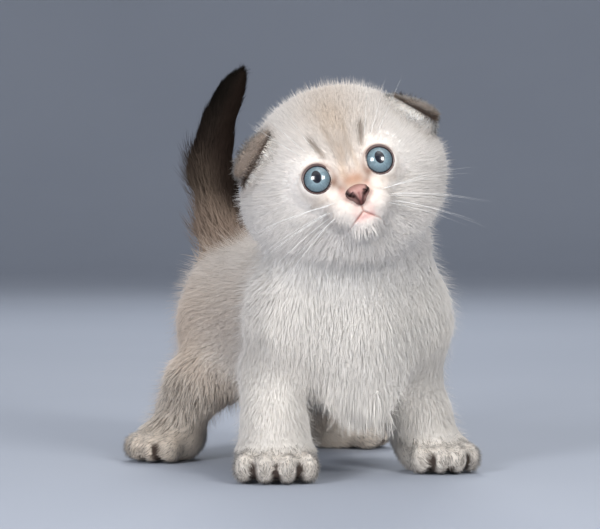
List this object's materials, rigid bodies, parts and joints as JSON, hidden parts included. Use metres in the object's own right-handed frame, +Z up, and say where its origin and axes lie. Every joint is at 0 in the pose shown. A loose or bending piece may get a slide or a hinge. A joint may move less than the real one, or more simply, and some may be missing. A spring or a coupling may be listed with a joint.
{
  "type": "scottish fold kitten",
  "caption": "Still life-size model of a short-haired fold-eared kitten standing on all fours, tail up, head tilted, cream coat with a dark tail and blue eyes.",
  "frame": {"origin": "on the floor, under the middle of the kitten's box", "axes": "+Z up, -Y the way the chest faces, +X the kitten's left side; the head is turned towards -X and tilted"},
  "size_m": [0.121, 0.1764, 0.1593],
  "materials": {
    "cream_fur": "soft dense fur, cream to pale warm grey",
    "taupe_fur": "soft fur, grey-brown with pale tips",
    "dark_fur": "fluffy fur, near black at the tip of the tail",
    "ear_fur": "very short fur, grey-brown outside and cream inside",
    "nose_leather": "moist bare skin, pink with brown rims",
    "eye": "wet gloss over a blue-grey iris and a black pupil"
  },
  "bodies": {
    "root": {"ear_left": "ear_fur", "ear_right": "ear_fur", "eye_left": "eye", "eye_right": "eye", "foreleg_left": "cream_fur", "foreleg_right": "cream_fur", "forepaw_left": "cream_fur", "forepaw_right": "cream_fur", "head": "cream_fur", "hindleg_left": "taupe_fur", "hindleg_right": "taupe_fur", "hindpaw_left": "taupe_fur", "hindpaw_right": "taupe_fur", "neck": "cream_fur", "nose": "nose_leather", "tail_middle": "dark_fur", "tail_root": "taupe_fur", "tail_tip": "dark_fur", "torso": "cream_fur"}
  },
  "joints": []
}
